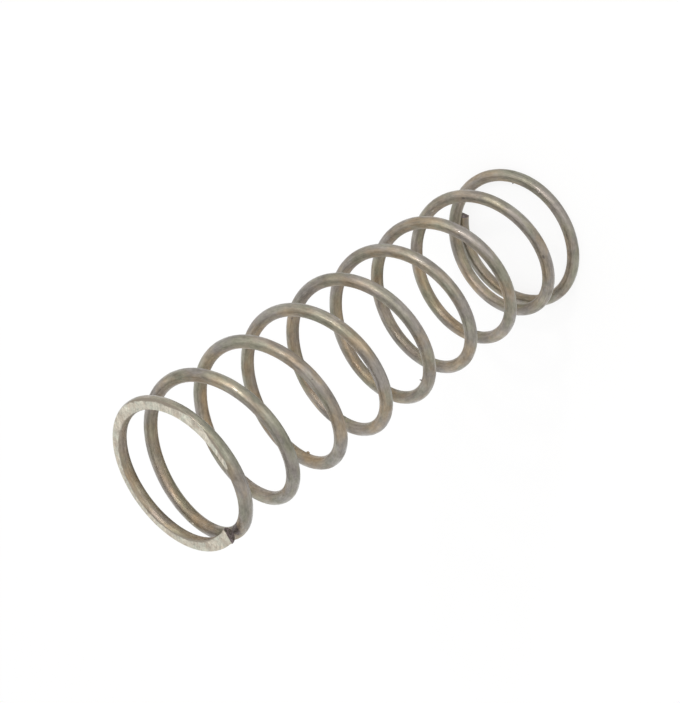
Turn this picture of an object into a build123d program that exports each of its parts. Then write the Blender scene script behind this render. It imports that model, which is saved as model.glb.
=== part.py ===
from build123d import *
from math import ceil, cos, pi, radians, sin, tan
import os

# A small compression spring, wound right-handed, with closed and ground ends.
#
# The spring is one length of round steel wire. It stands on its lower ground end: the origin is on
# the spring's axis in the plane that it stands on, +Z runs up the axis, and the wire starts from its
# lower tip on the +X side. Lengths are in millimetres, and places along the wire are in turns.

# Wire and coil
wire_diameter = 1.0
mean_diameter = 11.37
free_length = 40.8
total_turns = 9.42

# The first turn at each end is closed: it lies nearly flat and its tip meets the next coil.
# The pitch then comes up evenly to that of the active coils, over these turns.
lower_ramp_turns = 0.34
upper_ramp_turns = 0.94
tip_contact_gap = 0.03

# What grinding leaves of the wire at each tip
lower_tip_thickness = 0.80
upper_tip_thickness = 0.64

# The cutter took the upper tip off askew by this angle, and left its inner side the longer
upper_tip_skew = 24

# The closed coils are a little tighter than the rest, and the lower one sits out of true: to the
# +Y side by its offset, with that side higher by its lean.
end_coil_draw_in = 0.08
lower_coil_offset = 0.57
lower_coil_lean = 0.14

# That draw-in, offset and lean fade out over one turn, which ends this far in from a tip
settled_turns = 1.35

# The upper ground face is out of square: its rise per millimetre along X and along Y
upper_face_slope = 0.041

# The curve of an end coil runs through this many points
points_per_turn = 16

# Sizes worked out from the ones above
wire_radius = wire_diameter / 2
coil_radius = mean_diameter / 2
closed_rise = wire_diameter + tip_contact_gap
lower_tip_height = lower_tip_thickness - wire_radius
upper_tip_height = free_length - upper_tip_thickness + wire_radius
active_pitch = (upper_tip_height - lower_tip_height - 2 * closed_rise) / (total_turns - 2)

# Past its ramp, and once it has settled, each end coil runs on as a plain helix. The end coils are
# counted in whole turns, so that the helix starts on the +X side too
end_coil_turns = ceil(max(settled_turns, 1 + lower_ramp_turns / 2, 1 + upper_ramp_turns / 2))
helix_turns = total_turns - 2 * end_coil_turns


def rise(turns_in, ramp_turns):
    """How far the wire climbs along the axis in this many turns from a tip."""
    flat_turns = 1 - ramp_turns / 2 - closed_rise / active_pitch
    past_flat = max(turns_in - flat_turns, 0)
    in_ramp = min(past_flat, ramp_turns)
    return active_pitch * (in_ramp**2 / (2 * ramp_turns) + past_flat - in_ramp)


def end_share(turns_in):
    """How much of an end coil's draw-in, offset and lean is left, this far in from its tip."""
    share = min(max(settled_turns - turns_in, 0), 1)
    return share**2 * (3 - 2 * share)


def wire_centre(turns):
    """The centre of the wire, this many turns up from the lower tip."""
    angle = 2 * pi * turns
    turns_left = total_turns - turns
    lower = end_share(turns)
    radius = coil_radius - end_coil_draw_in * (lower + end_share(turns_left))
    if turns < turns_left:
        height = lower_tip_height + rise(turns, lower_ramp_turns)
    else:
        height = upper_tip_height - rise(turns_left, upper_ramp_turns)
    return Vector(
        radius * cos(angle),
        radius * sin(angle) + lower * lower_coil_offset,
        height + lower * lower_coil_lean * sin(angle),
    )


def wire_direction(turns):
    """The way that the wire runs there, from two points close on either side."""
    nudge = 0.001
    return wire_centre(turns + nudge) - wire_centre(turns - nudge)


def end_curve(first_turn, last_turn):
    """A smooth curve along the wire, from one turn to another."""
    steps = round((last_turn - first_turn) * points_per_turn)
    spacing = (last_turn - first_turn) / steps
    return Spline(
        [wire_centre(first_turn + step * spacing) for step in range(steps + 1)],
        tangents=(wire_direction(first_turn), wire_direction(last_turn)),
        tangent_scalars=(1, 1),
    )

with BuildPart() as spring:
    with BuildLine() as wire_path:
        end_curve(0, end_coil_turns)
        Helix(
            pitch=active_pitch,
            height=active_pitch * helix_turns,
            radius=coil_radius,
            center=(0, 0, wire_centre(end_coil_turns).Z),
        )
        end_curve(total_turns - end_coil_turns, total_turns)
    # The section starts on the inside of the coil, so that its seam runs there
    with BuildSketch(
        Plane(origin=wire_path.line @ 0, x_dir=(-1, 0, 0), z_dir=wire_path.line % 0)
    ):
        Circle(wire_radius)
    sweep(path=wire_path.line, is_frenet=True)
    # Grinding takes both ends flat
    split(bisect_by=Plane.XY, keep=Keep.TOP)
    upper_normal = (-upper_face_slope, -upper_face_slope, 1)
    split(bisect_by=Plane(origin=(0, 0, free_length), z_dir=upper_normal), keep=Keep.BOTTOM)
    # The skewed cut, seen from above with the wire running along X and its inner side towards +Y.
    # It clears the wire by the contact gap, and stops short of the coil that the tip lies on
    upper_tip = Plane(origin=wire_path.line @ 1, x_dir=wire_path.line % 1, z_dir=(0, 0, 1))
    skew = tan(radians(upper_tip_skew))
    cut_side = wire_radius + tip_contact_gap
    with BuildSketch(upper_tip.offset(-wire_radius - tip_contact_gap / 2)):
        with BuildLine():
            Polyline(
                (skew * tip_contact_gap, cut_side),
                (-skew * (wire_diameter + tip_contact_gap), -cut_side),
                (tip_contact_gap, -cut_side),
                (tip_contact_gap, cut_side),
                close=True,
            )
        make_face()
    extrude(amount=closed_rise, mode=Mode.SUBTRACT)

spring.part.label = "spring"
os.makedirs("parts", exist_ok=True)
export_step(spring.part, "parts/spring.step")
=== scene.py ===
from math import ceil, cos, pi, radians, sin, tan

import bmesh
import bpy
from mathutils import Matrix, Vector, noise


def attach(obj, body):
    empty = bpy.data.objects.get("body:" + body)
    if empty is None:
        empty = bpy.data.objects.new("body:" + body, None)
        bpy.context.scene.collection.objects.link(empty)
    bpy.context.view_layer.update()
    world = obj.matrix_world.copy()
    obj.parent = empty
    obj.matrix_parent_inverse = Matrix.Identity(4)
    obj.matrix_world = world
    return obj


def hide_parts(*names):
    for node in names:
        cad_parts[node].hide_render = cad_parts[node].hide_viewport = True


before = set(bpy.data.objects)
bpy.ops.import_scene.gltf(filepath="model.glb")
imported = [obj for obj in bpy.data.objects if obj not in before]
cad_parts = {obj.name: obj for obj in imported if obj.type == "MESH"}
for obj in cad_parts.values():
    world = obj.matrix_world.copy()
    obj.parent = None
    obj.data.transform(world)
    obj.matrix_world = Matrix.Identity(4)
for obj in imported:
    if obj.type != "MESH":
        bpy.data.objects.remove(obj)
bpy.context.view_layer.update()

# The wire: one length of round spring steel, coiled cold and right-handed from its lower tip, then
# heated to set it. The first turn at each end is closed: it lies nearly flat and its tip meets the
# next coil. The lower end coil came off the coiler a little to one side.
MM = 0.001
wire_radius = 0.5 * MM
coil_radius = 5.685 * MM
free_length = 40.8 * MM
total_turns = 9.42
closed_rise = 1.03 * MM
lower_tip_height = 0.30 * MM
upper_tip_height = free_length - 0.14 * MM
lower_ramp_turns = 0.34
upper_ramp_turns = 0.94
end_coil_draw_in = 0.08 * MM
lower_coil_offset = 0.57 * MM
lower_coil_lean = 0.14 * MM
settled_turns = 1.35
active_pitch = (upper_tip_height - lower_tip_height - 2 * closed_rise) / (total_turns - 2)


def rise(turns_in, ramp_turns):
    """How far the wire climbs in this many turns from a tip."""
    flat_turns = 1 - ramp_turns / 2 - closed_rise / active_pitch
    past_flat = max(turns_in - flat_turns, 0)
    in_ramp = min(past_flat, ramp_turns)
    return active_pitch * (in_ramp**2 / (2 * ramp_turns) + past_flat - in_ramp)


def end_share(turns_in):
    """How much of an end coil's draw-in, offset and lean is left there."""
    share = min(max(settled_turns - turns_in, 0), 1)
    return share**2 * (3 - 2 * share)


def wire_centre(turns):
    """The centre of the wire, this many turns up from the lower tip."""
    angle = 2 * pi * turns
    turns_left = total_turns - turns
    lower = end_share(turns)
    radius = coil_radius - end_coil_draw_in * (lower + end_share(turns_left))
    if turns < turns_left:
        height = lower_tip_height + rise(turns, lower_ramp_turns)
    else:
        height = upper_tip_height - rise(turns_left, upper_ramp_turns)
    return Vector((
        radius * cos(angle),
        radius * sin(angle) + lower * lower_coil_offset,
        height + lower * lower_coil_lean * sin(angle),
    ))


def wire_section(turns):
    """Where the wire's round section lies there: Z along the wire, X away from the spring's axis."""
    nearby = 0.001
    along = (wire_centre(turns + nearby) - wire_centre(turns - nearby)).normalized()
    down = along.cross(Vector((cos(2 * pi * turns), sin(2 * pi * turns), 0))).normalized()
    axes = Matrix((down.cross(along), down, along)).transposed()
    return Matrix.Translation(wire_centre(turns)) @ axes.to_4x4()


def edges_of(items):
    """Only the edges, out of what a bmesh operator gives back."""
    return [item for item in items if isinstance(item, bmesh.types.BMEdge)]


def verts_of(items):
    """Only the vertices, out of what a bmesh operator gives back."""
    return [item for item in items if isinstance(item, bmesh.types.BMVert)]


# One ring of the section is drawn out along the coil. The layer keeps each point's place on the
# wire as it was before coiling, straight along Z, for the finishes that follow the wire.
section_sides = 40
steps_per_turn = 80
wire_mesh = bmesh.new()
straight_wire = wire_mesh.verts.layers.float_vector.new("straight_wire")
section = wire_section(0)
bmesh.ops.create_circle(wire_mesh, segments=section_sides, radius=wire_radius)
for vert in wire_mesh.verts:
    vert[straight_wire] = vert.co
wire_mesh.transform(section)
ring = list(wire_mesh.edges)
lower_rim = list(ring)
wire_length = 0
steps = ceil(total_turns * steps_per_turn)
for step in range(1, steps + 1):
    next_section = wire_section(total_turns * step / steps)
    wire_length += (next_section.translation - section.translation).length
    extruded = bmesh.ops.extrude_edge_only(wire_mesh, edges=ring)["geom"]
    ring_verts = verts_of(extruded)
    bmesh.ops.transform(wire_mesh, matrix=next_section @ section.inverted(), verts=ring_verts)
    for vert in ring_verts:
        vert[straight_wire] = (*vert[straight_wire].xy, wire_length)
    ring = [edge for edge in edges_of(extruded) if all(vert in ring_verts for vert in edge.verts)]
    section = next_section

# The cut tips: a cutter sheared the wire at both ends, and left each face dark and torn. The upper
# tip was cut off askew, so that its inner side is the longer, and the cutter flared it sideways.
upper_tip_skew = radians(24)
tip_reach = 4 * wire_radius
torn_rings = 5
torn_ring_width = 0.16 * wire_radius
torn_depth = 0.03 * MM
torn_grain_size = 0.12 * MM
flare = 0.16
flare_overhang = 0.1 * MM
skin_finish, ground_finish, torn_finish = range(3)
outward, _, onward, tip_centre = (column.xyz for column in section.col)
near_tip = [vert for vert in wire_mesh.verts if vert[straight_wire].z > wire_length - tip_reach]
near_tip_edges = {edge for vert in near_tip for edge in vert.link_edges}
near_tip_faces = {face for vert in near_tip for face in vert.link_faces}
sheared = bmesh.ops.bisect_plane(
    wire_mesh,
    geom=[*near_tip, *near_tip_edges, *near_tip_faces],
    plane_co=tip_centre - wire_radius * outward,
    plane_no=cos(upper_tip_skew) * onward + sin(upper_tip_skew) * outward,
    clear_outer=True,
)
upper_rim = edges_of(sheared["geom_cut"])
for rim in (lower_rim, upper_rim):
    caps = bmesh.ops.contextual_create(wire_mesh, geom=rim)["faces"]
    torn = set(caps)
    for _ in range(torn_rings):
        torn.update(bmesh.ops.inset_region(wire_mesh, faces=caps, thickness=torn_ring_width)["faces"])
    inner_verts = {vert for face in torn for vert in face.verts}
    inner_verts -= {vert for edge in rim for vert in edge.verts}
    facing = caps[0].normal.copy()
    for vert in inner_verts:
        vert.co += facing * torn_depth * noise.noise(vert.co / torn_grain_size)
    if rim is upper_rim:
        for vert in {vert for face in torn for vert in face.verts}:
            vert.co += flare * outward.dot(vert.co - tip_centre) * outward + flare_overhang * onward
    for face in torn:
        face.material_index = torn_finish
bmesh.ops.recalc_face_normals(wire_mesh, faces=wire_mesh.faces)
for face in wire_mesh.faces:
    face.smooth = face.material_index == skin_finish

# The ground ends: a grinding wheel took both end coils flat, so that the spring stands square. The
# upper face came out a little out of square. The steel is bare there, with a sharp rim.
upper_face_slope = 0.041
ground_planes = (
    (Vector((0, 0, 0)), Vector((0, 0, -1))),
    (Vector((0, 0, free_length)), Vector((-upper_face_slope, -upper_face_slope, 1)).normalized()),
)
for point, facing in ground_planes:
    ground = bmesh.ops.bisect_plane(
        wire_mesh,
        geom=[*wire_mesh.verts, *wire_mesh.edges, *wire_mesh.faces],
        plane_co=point,
        plane_no=facing,
        clear_outer=True,
    )
    rim = edges_of(ground["geom_cut"])
    flat = bmesh.ops.triangle_fill(wire_mesh, edges=rim, use_beauty=True, normal=facing)["geom"]
    for face in flat:
        if isinstance(face, bmesh.types.BMFace):
            face.material_index = ground_finish
            face.smooth = False
    for edge in rim:
        edge.smooth = False

# The grit: grinding dust, flakes of scale and two small spurs, baked onto the wire. Each lies so many
# turns up the wire, and at an angle in degrees round it, from the side away from the spring's axis
# towards below. Its height, width and length are in millimetres.
grit = (
    (8.25, -100, (0.04, 0.07, 0.13), ground_finish),
    (8.24, -90, (0.03, 0.05, 0.08), torn_finish),
    (6.29, 135, (0.13, 0.11, 0.18), skin_finish),
    (5.28, 170, (0.03, 0.05, 0.05), ground_finish),
    (4.45, -155, (0.16, 0.05, 0.06), torn_finish),
    (0.77, -150, (0.08, 0.05, 0.06), torn_finish),
    (5.70, 15, (0.04, 0.09, 0.12), ground_finish),
    (4.98, -110, (0.03, 0.05, 0.05), torn_finish),
    (6.64, -45, (0.03, 0.05, 0.05), torn_finish),
)
for turns, angle, speck_size, speck_finish in grit:
    up_wire = Matrix.Translation((0, 0, wire_length * turns / total_turns))
    on_skin = Matrix.Rotation(radians(angle), 4, "Z") @ Matrix.Translation((wire_radius, 0, 0))
    speck_shape = Matrix.Diagonal((*speck_size, 1)) @ Matrix.Scale(MM, 4)
    speck = bmesh.ops.create_icosphere(
        wire_mesh, subdivisions=2, radius=1, matrix=up_wire @ on_skin @ speck_shape,
    )["verts"]
    for vert in speck:
        vert[straight_wire] = vert.co
    bmesh.ops.transform(wire_mesh, matrix=wire_section(turns) @ up_wire.inverted(), verts=speck)
    for face in {face for vert in speck for face in vert.link_faces}:
        face.material_index = speck_finish
        face.smooth = True

mesh = bpy.data.meshes.new("coiled_wire")
wire_mesh.to_mesh(mesh)
wire_mesh.free()
wire = bpy.data.objects.new("coiled_wire", mesh)
bpy.context.scene.collection.objects.link(wire)
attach(wire, "root")
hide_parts("spring")


# The finishes: drawing left fine lines along the wire, and the setting heat gave it a thin bronze-grey
# skin, with browner and greyer patches. Grinding bared paler steel, and the cut faces went dark.
def bare_metal(name):
    """A new material for the wire, as its nodes, and its shader as bare metal."""
    material = bpy.data.materials.new(name)
    material.use_nodes = True
    shader = material.node_tree.nodes["Principled BSDF"]
    shader.inputs["Metallic"].default_value = 1
    mesh.materials.append(material)
    return material.node_tree, shader


def add(tree, kind, settings=None, **values):
    """A node of this kind, with its settings, and its inputs' values or the sockets that feed them.
    An input goes by its name, with _ for a space, or by _ and its number."""
    node = tree.nodes.new("ShaderNode" + kind)
    for key, value in (settings or {}).items():
        setattr(node, key, value)
    for key, value in values.items():
        socket = node.inputs[int(key[1:])] if key[1:].isdigit() else node.inputs[key.replace("_", " ")]
        if isinstance(value, bpy.types.NodeSocket):
            tree.links.new(value, socket)
        else:
            socket.default_value = value
    return node


def calculate(tree, operation, *values):
    """The result of a Math node on these values."""
    numbered = {f"_{number}": value for number, value in enumerate(values)}
    return add(tree, "Math", {"operation": operation}, **numbered).outputs[0]


def spread(tree, value, low, high, to_low, to_high):
    """A value's range from low to high, brought evenly to another range."""
    node = add(tree, "MapRange", Value=value, From_Min=low, From_Max=high, To_Min=to_low, To_Max=to_high)
    return node.outputs["Result"]


def curve(tree, value, points):
    """A value read off a smooth curve through these points, all of them between 0 and 1."""
    node = add(tree, "FloatCurve", Value=value)
    line = node.mapping.curves[0]
    line.points[0].location = points[0]
    line.points[1].location = points[-1]
    for point in points[1:-1]:
        line.points.new(*point)
    node.mapping.update()
    return node.outputs[0]


def blended(tree, share, without, full):
    """One colour where the share is 0, and another where it is 1."""
    return add(tree, "Mix", {"data_type": "RGBA"}, _0=share, _6=without, _7=full).outputs[2]


def brightened(tree, colour, level):
    """A colour made lighter or darker, by so many times."""
    return add(tree, "VectorMath", {"operation": "SCALE"}, _0=colour, Scale=level).outputs[0]


def in_millimetres(tree, place, scale=(1, 1, 1)):
    """A place in millimetres. Where its scale is low, a pattern on it is drawn out that way."""
    return add(tree, "Mapping", Vector=place, Scale=[each / MM for each in scale]).outputs[0]


def grain(tree, place, scale, detail, roughness):
    """The value of a noise at a place, which is nearly always within the noise range."""
    found = add(tree, "TexNoise", Vector=place, Scale=scale, Detail=detail, Roughness=roughness)
    return found.outputs["Fac"]


noise_range = (0.3, 0.7)


def raised(tree, height, strength, distance, **under):
    """The normals of a surface that this height raises, on top of others if they are given."""
    bump = add(tree, "Bump", Strength=strength, Distance=distance, Height=height, **under)
    return bump.outputs[0]


def node_group(name, inputs, outputs):
    """A new node group with these sockets, and the sockets at its two ends, seen from inside."""
    group = bpy.data.node_groups.new(name, "ShaderNodeTree")
    for label, kind in inputs.items():
        group.interface.new_socket(label, in_out="INPUT", socket_type="NodeSocket" + kind)
    for label, kind in outputs.items():
        group.interface.new_socket(label, in_out="OUTPUT", socket_type="NodeSocket" + kind)
    return group, group.nodes.new("NodeGroupInput").outputs, group.nodes.new("NodeGroupOutput").inputs


# Patches of colour, light and dark clouds and fine specks, for every steel surface here
patchy, patchy_in, patchy_out = node_group(
    "patchy_steel",
    {
        "Place": "Vector", "Patch Scale": "Float", "Plain": "Color", "Brown": "Color", "Olive": "Color",
        "Clouds": "Float", "Specks": "Float",
    },
    {"Color": "Color"},
)


def steel_noise(away, scale, detail, roughness):
    """Noise on the steel, taken some way off so that no two are alike, as a value about zero."""
    place = add(patchy, "VectorMath", {"operation": "ADD"}, _0=patchy_in["Place"], _1=(away, away, away))
    return calculate(patchy, "SUBTRACT", grain(patchy, place.outputs[0], scale, detail, roughness), 0.5)


brown_noise = steel_noise(away=0, scale=patchy_in["Patch Scale"], detail=4, roughness=0.6)
olive_noise = steel_noise(away=31, scale=patchy_in["Patch Scale"], detail=4, roughness=0.65)
cloud_noise = steel_noise(away=57, scale=1.3, detail=5, roughness=0.6)
speck_noise = steel_noise(away=83, scale=7, detail=3, roughness=0.7)
brown_share = spread(patchy, brown_noise, -0.06, 0.14, 0, 1)
olive_share = spread(patchy, olive_noise, -0.04, 0.14, 0, 1)
browned = blended(patchy, brown_share, patchy_in["Plain"], patchy_in["Brown"])
patched = blended(patchy, olive_share, browned, patchy_in["Olive"])
clouded = calculate(patchy, "MULTIPLY_ADD", cloud_noise, patchy_in["Clouds"], 1)
specked = calculate(patchy, "MULTIPLY_ADD", speck_noise, patchy_in["Specks"], clouded)
patchy.links.new(brightened(patchy, patched, specked), patchy_out["Color"])


def patchy_colour(tree, place, patch_scale, plain, brown, olive, clouds, specks):
    """The colour that the patches give, from a place in millimetres."""
    group = add(
        tree, "Group", {"node_tree": patchy},
        Place=place, Patch_Scale=patch_scale, Plain=(*plain, 1), Brown=(*brown, 1), Olive=(*olive, 1),
        Clouds=clouds, Specks=specks,
    )
    return group.outputs["Color"]


# Fine lines, as drawing and grinding leave them
lined, lined_in, lined_out = node_group(
    "fine_lines",
    {"Place": "Vector", "Color": "Color", "Detail": "Float", "Roughness": "Float", "Strength": "Float"},
    {"Color": "Color", "Height": "Float"},
)
line_noise = grain(lined, lined_in["Place"], 1, lined_in["Detail"], lined_in["Roughness"])
darkest = calculate(lined, "SUBTRACT", 1, lined_in["Strength"])
lightest = calculate(lined, "ADD", 1, lined_in["Strength"])
line_level = spread(lined, line_noise, *noise_range, darkest, lightest)
lined.links.new(brightened(lined, lined_in["Color"], line_level), lined_out["Color"])
lined.links.new(line_noise, lined_out["Height"])


def fine_lines(tree, place, colour, detail, roughness, strength):
    """A colour with the lines on it, and the lines' height."""
    group = add(
        tree, "Group", {"node_tree": lined},
        Place=place, Color=colour, Detail=detail, Roughness=roughness, Strength=strength,
    )
    return group.outputs["Color"], group.outputs["Height"]


# A mask with a ragged edge, as the painted shade under the upper tip and a brushed rim have
ragged, ragged_in, ragged_out = node_group(
    "ragged_edge",
    {
        "Place": "Vector", "Scale": "Float", "Detail": "Float", "Depth": "Float", "Fray": "Float",
        "Blur": "Float",
    },
    {"Mask": "Float"},
)
edge_noise = grain(ragged, ragged_in["Place"], ragged_in["Scale"], ragged_in["Detail"], 0.6)
frayed = spread(ragged, edge_noise, *noise_range, -1, 1)
frayed_depth = calculate(ragged, "MULTIPLY_ADD", frayed, ragged_in["Fray"], ragged_in["Depth"])
blurred = spread(ragged, calculate(ragged, "DIVIDE", frayed_depth, ragged_in["Blur"]), -1, 1, 0, 1)
ragged.links.new(blurred, ragged_out["Mask"])


def ragged_mask(tree, place, scale, detail, depth, fray, blur):
    """1 well inside an outline and 0 outside it, from the depth inside it at each place."""
    group = add(
        tree, "Group", {"node_tree": ragged},
        Place=place, Scale=scale, Detail=detail, Depth=depth, Fray=fray, Blur=blur,
    )
    return group.outputs["Mask"]


# The wire's skin, whose patches and lines follow the wire
tree, shader = bare_metal("drawn_wire_skin")
on_wire = add(tree, "Attribute", {"attribute_name": "straight_wire"}).outputs["Vector"]
patch_place = in_millimetres(tree, on_wire, (1, 1, 0.45))
line_place = in_millimetres(tree, on_wire, (9, 9, 0.26))
skin_patches = patchy_colour(
    tree, patch_place, patch_scale=0.65,
    plain=(0.27, 0.245, 0.219), brown=(0.315, 0.251, 0.174), olive=(0.263, 0.255, 0.195),
    clouds=1.3, specks=0.8,
)
drawn_colour, draw_lines = fine_lines(
    tree, line_place, skin_patches, detail=2, roughness=0.6, strength=0.12,
)

# The side that faces the spring's axis is tinted browner
inner_side_tint = (1.03, 0.975, 0.9, 1)
from_middle = add(tree, "SeparateXYZ", Vector=on_wire).outputs["X"]
inner_side = spread(tree, from_middle, 0, -0.8 * wire_radius, 0, 1)
tint = blended(tree, inner_side, (1, 1, 1, 1), inner_side_tint)
skin_colour = add(tree, "VectorMath", {"operation": "MULTIPLY"}, _0=drawn_colour, _1=tint).outputs[0]

# Painted shade on the next coil, just under the upper tip, where the tip lies on it and shades it
painted_shade_colour = (0.09, 0.07, 0.075, 1)
painted_shade_cover = 0.85
painted_shade_radius = 0.57 * MM
painted_shade_centre = tip_centre - 0.05 * MM * onward - 0.2 * MM * outward - Vector((0, 0, 0.84 * MM))
in_space = add(tree, "TexCoord").outputs["Object"]
from_painted_shade = add(tree, "VectorMath", {"operation": "DISTANCE"}, _0=in_space, _1=painted_shade_centre)
painted_shade_depth = calculate(tree, "SUBTRACT", painted_shade_radius, from_painted_shade.outputs["Value"])
painted_shade_mask = ragged_mask(
    tree, patch_place, scale=3, detail=3, depth=painted_shade_depth, fray=0.15 * MM, blur=0.12 * MM,
)
# The painted shade is laid over the skin's colour there
skin_with_painted_shade = blended(tree, calculate(tree, "MULTIPLY", painted_shade_mask, painted_shade_cover), skin_colour, painted_shade_colour)

# A few nicks in the skin, some bright and some dark
dark_nick, bright_nick = (0.14, 0.12, 0.105, 1), (0.6, 0.57, 0.5, 1)
nicks = add(tree, "TexVoronoi", Vector=patch_place, Scale=0.55, Randomness=1)
nick = spread(tree, nicks.outputs["Distance"], 0.03, 0.055, 1, 0)
nick_kind = add(tree, "SeparateColor", Color=nicks.outputs["Color"]).outputs["Red"]
nick_colour = blended(tree, spread(tree, nick_kind, 0.4, 0.6, 0, 1), dark_nick, bright_nick)
tree.links.new(blended(tree, nick, skin_with_painted_shade, nick_colour), shader.inputs["Base Color"])

# Rubbed blotches shine more, and less so on the inner side
blotches = grain(tree, patch_place, scale=1.8, detail=5, roughness=0.7)
sheen = spread(tree, blotches, 0.38, 0.6, 0.9, 0)
outer_share = spread(tree, inner_side, 0, 1, 1, 0.35)
tree.links.new(spread(tree, blotches, *noise_range, 0.34, 0.5), shader.inputs["Roughness"])
tree.links.new(calculate(tree, "MULTIPLY", sheen, outer_share), shader.inputs["Coat Weight"])
shader.inputs["Coat Roughness"].default_value = 0.14
skin_grain = grain(tree, patch_place, scale=8, detail=3, roughness=0.6)
line_relief = raised(tree, draw_lines, strength=0.8, distance=0.02 * MM)
skin_relief = raised(tree, skin_grain, strength=0.6, distance=0.03 * MM, Normal=line_relief)
tree.links.new(skin_relief, shader.inputs["Normal"])

# The ground faces, scored by the wheel
tree, shader = bare_metal("ground_steel")
in_space = add(tree, "TexCoord").outputs["Object"]
in_mm = in_millimetres(tree, in_space)
ground_patches = patchy_colour(
    tree, in_mm, patch_scale=1.4,
    plain=(0.60, 0.565, 0.48), brown=(0.50, 0.44, 0.36), olive=(0.56, 0.56, 0.48), clouds=0.9, specks=0.9,
)
score_place = in_millimetres(tree, in_space, (7, 1.3, 1.3))
scored_colour, score_lines = fine_lines(
    tree, score_place, ground_patches, detail=3, roughness=0.65, strength=0.2,
)

# The wheel only brushed parts of the rim, and left the brown skin there: how far the bare band
# reaches, from 0 at the inner rim to 1 at the outer, against the turns from the upper tip
brown_skin = (0.30, 0.262, 0.212, 1)
end_coil_length = 2 * pi * (coil_radius - end_coil_draw_in)
on_wire = add(tree, "Attribute", {"attribute_name": "straight_wire"}).outputs["Vector"]
wire_place = add(tree, "SeparateXYZ", Vector=on_wire).outputs
turns_from_tip = spread(tree, wire_place["Z"], wire_length, wire_length - end_coil_length, 0, 1)
across = spread(tree, wire_place["X"], -wire_radius, wire_radius, 0, 1)
inner_limit = curve(tree, turns_from_tip, (
    (0, 0), (0.03, 0), (0.075, 0.15), (0.125, 0.26), (0.18, 0.3), (0.38, 0.3), (0.48, 0.19), (0.6, 0),
    (1, 0),
))
outer_limit = curve(tree, turns_from_tip, (
    (0, 1), (0.49, 1), (0.55, 0.85), (0.6, 0.7), (0.64, 0.67), (0.68, 0.74), (0.725, 0.92), (0.775, 0.62),
    (0.82, 0.7), (0.9, 1), (1, 1),
))
past_inner = calculate(tree, "SUBTRACT", across, inner_limit)
before_outer = calculate(tree, "SUBTRACT", outer_limit, across)
band_depth = calculate(tree, "MINIMUM", past_inner, before_outer)
bare = ragged_mask(tree, in_mm, scale=2.5, detail=4, depth=band_depth, fray=0.06, blur=0.05)
tree.links.new(blended(tree, bare, brown_skin, scored_colour), shader.inputs["Base Color"])
tree.links.new(spread(tree, score_lines, *noise_range, 0.4, 0.6), shader.inputs["Roughness"])
score_relief = raised(tree, score_lines, strength=0.7, distance=0.02 * MM)
tree.links.new(score_relief, shader.inputs["Normal"])

# The torn faces of the cut tips
tree, shader = bare_metal("torn_steel")
in_mm = in_millimetres(tree, add(tree, "TexCoord").outputs["Object"])
torn_patches = patchy_colour(
    tree, in_mm, patch_scale=2.6,
    plain=(0.18, 0.145, 0.142), brown=(0.28, 0.23, 0.235), olive=(0.1, 0.09, 0.07), clouds=1.1, specks=1,
)
torn_grain = grain(tree, in_mm, scale=8, detail=3, roughness=0.7)
tree.links.new(torn_patches, shader.inputs["Base Color"])
tree.links.new(spread(tree, torn_grain, *noise_range, 0.5, 0.75), shader.inputs["Roughness"])
tree.links.new(raised(tree, torn_grain, strength=0.9, distance=0.05 * MM), shader.inputs["Normal"])

# The studio: a plain white floor and world, which the camera and the steel see as white. A small warm
# key lamp in a soft halo stands above, and two faint fill lamps low down. The floor keeps a shadow.
floor_reach = 2
floor_mesh = bmesh.new()
bmesh.ops.create_grid(floor_mesh, x_segments=1, y_segments=1, size=floor_reach)
floor_data = bpy.data.meshes.new("floor")
floor_mesh.to_mesh(floor_data)
floor_mesh.free()
floor = bpy.data.objects.new("floor", floor_data)
bpy.context.scene.collection.objects.link(floor)
floor_white = bpy.data.materials.new("floor_white")
floor_white.use_nodes = True
tree = floor_white.node_tree
glow_share = 0.85
path = add(tree, "LightPath").outputs
glow = add(tree, "Emission", Strength=1)
matte = add(tree, "BsdfDiffuse", Color=(0.9, 0.9, 0.9, 1))
mirrored = calculate(tree, "MAXIMUM", path["Is Glossy Ray"], path["Is Transmission Ray"])
seen = calculate(tree, "MAXIMUM", path["Is Camera Ray"], mirrored)
seen_glow = calculate(tree, "MULTIPLY", seen, glow_share)
floor_mix = add(tree, "MixShader", _0=seen_glow, _1=matte.outputs[0], _2=glow.outputs[0])
tree.links.new(floor_mix.outputs[0], tree.nodes["Material Output"].inputs["Surface"])
floor_data.materials.append(floor_white)

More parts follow.
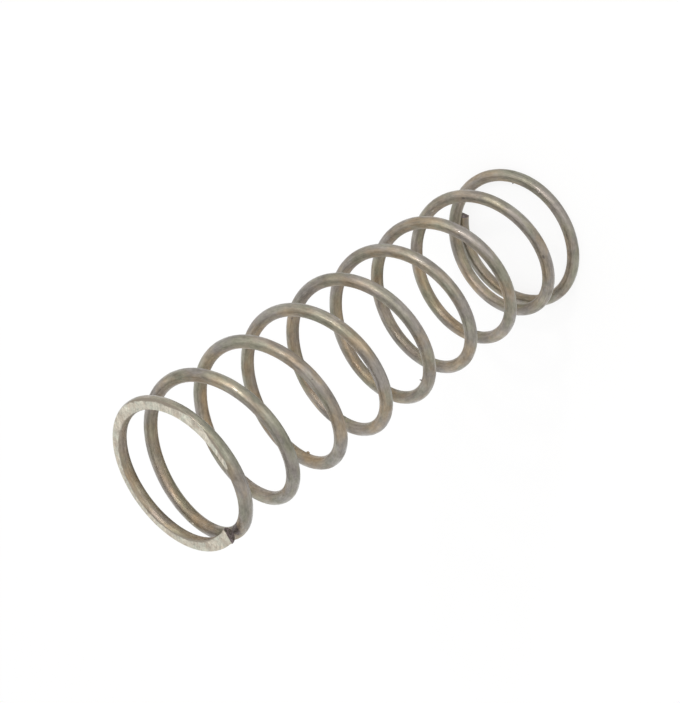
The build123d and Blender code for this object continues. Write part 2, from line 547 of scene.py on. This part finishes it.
world = bpy.data.worlds.new("studio")
world.use_nodes = True
world.node_tree.nodes["Background"].inputs["Color"].default_value = (1, 1, 1, 1)
world.node_tree.nodes["Background"].inputs["Strength"].default_value = 1
bpy.context.scene.world = world

mid_spring = Vector((0, 0, free_length / 2))
lamp_distance = 0.4


def soft_lamp(name, azimuth, elevation, width, brightness, colour=(1, 1, 1)):
    """A round lamp that faces the spring: where it stands and how wide it looks, in degrees, and how
    bright it is against the world."""
    azimuth, elevation, width = radians(azimuth), radians(elevation), radians(width)
    towards = Vector((cos(elevation) * cos(azimuth), cos(elevation) * sin(azimuth), sin(elevation)))
    lamp_data = bpy.data.lights.new(name, "AREA")
    lamp_data.shape = "DISK"
    lamp_data.size = 2 * lamp_distance * tan(width / 2)
    lamp_data.energy = brightness * (pi * lamp_data.size / 2) ** 2
    lamp_data.color = colour
    lamp = bpy.data.objects.new(name, lamp_data)
    facing = towards.to_track_quat("Z", "Y").to_matrix().to_4x4()
    lamp.matrix_world = Matrix.Translation(mid_spring + lamp_distance * towards) @ facing
    bpy.context.scene.collection.objects.link(lamp)


warm_white = (1, 0.92, 0.88)
soft_lamp("key_lamp", azimuth=269, elevation=42, width=6, brightness=66, colour=warm_white)
soft_lamp("key_halo", azimuth=276, elevation=42, width=60, brightness=0.44, colour=warm_white)
soft_lamp("side_lamp", azimuth=226, elevation=3, width=50, brightness=0.7)
soft_lamp("front_lamp", azimuth=292, elevation=2, width=60, brightness=0.4)

camera_place = Vector((-69.70, -83.79, 107.26)) * MM
camera_aim = Vector((1.059, 0.534, 21.804)) * MM
camera_roll = radians(125.12)
camera_data = bpy.data.cameras.new("camera")
camera_data.lens = 93.64
camera_data.clip_start = 0.01
camera = bpy.data.objects.new("camera", camera_data)
upright = (camera_aim - camera_place).to_track_quat("-Z", "Y").to_matrix()
rolled = upright @ Matrix.Rotation(-camera_roll, 3, "Z")
camera.matrix_world = Matrix.Translation(camera_place) @ rolled.to_4x4()
bpy.context.scene.collection.objects.link(camera)
bpy.context.scene.camera = camera

bpy.context.scene.view_settings.view_transform = "Standard"
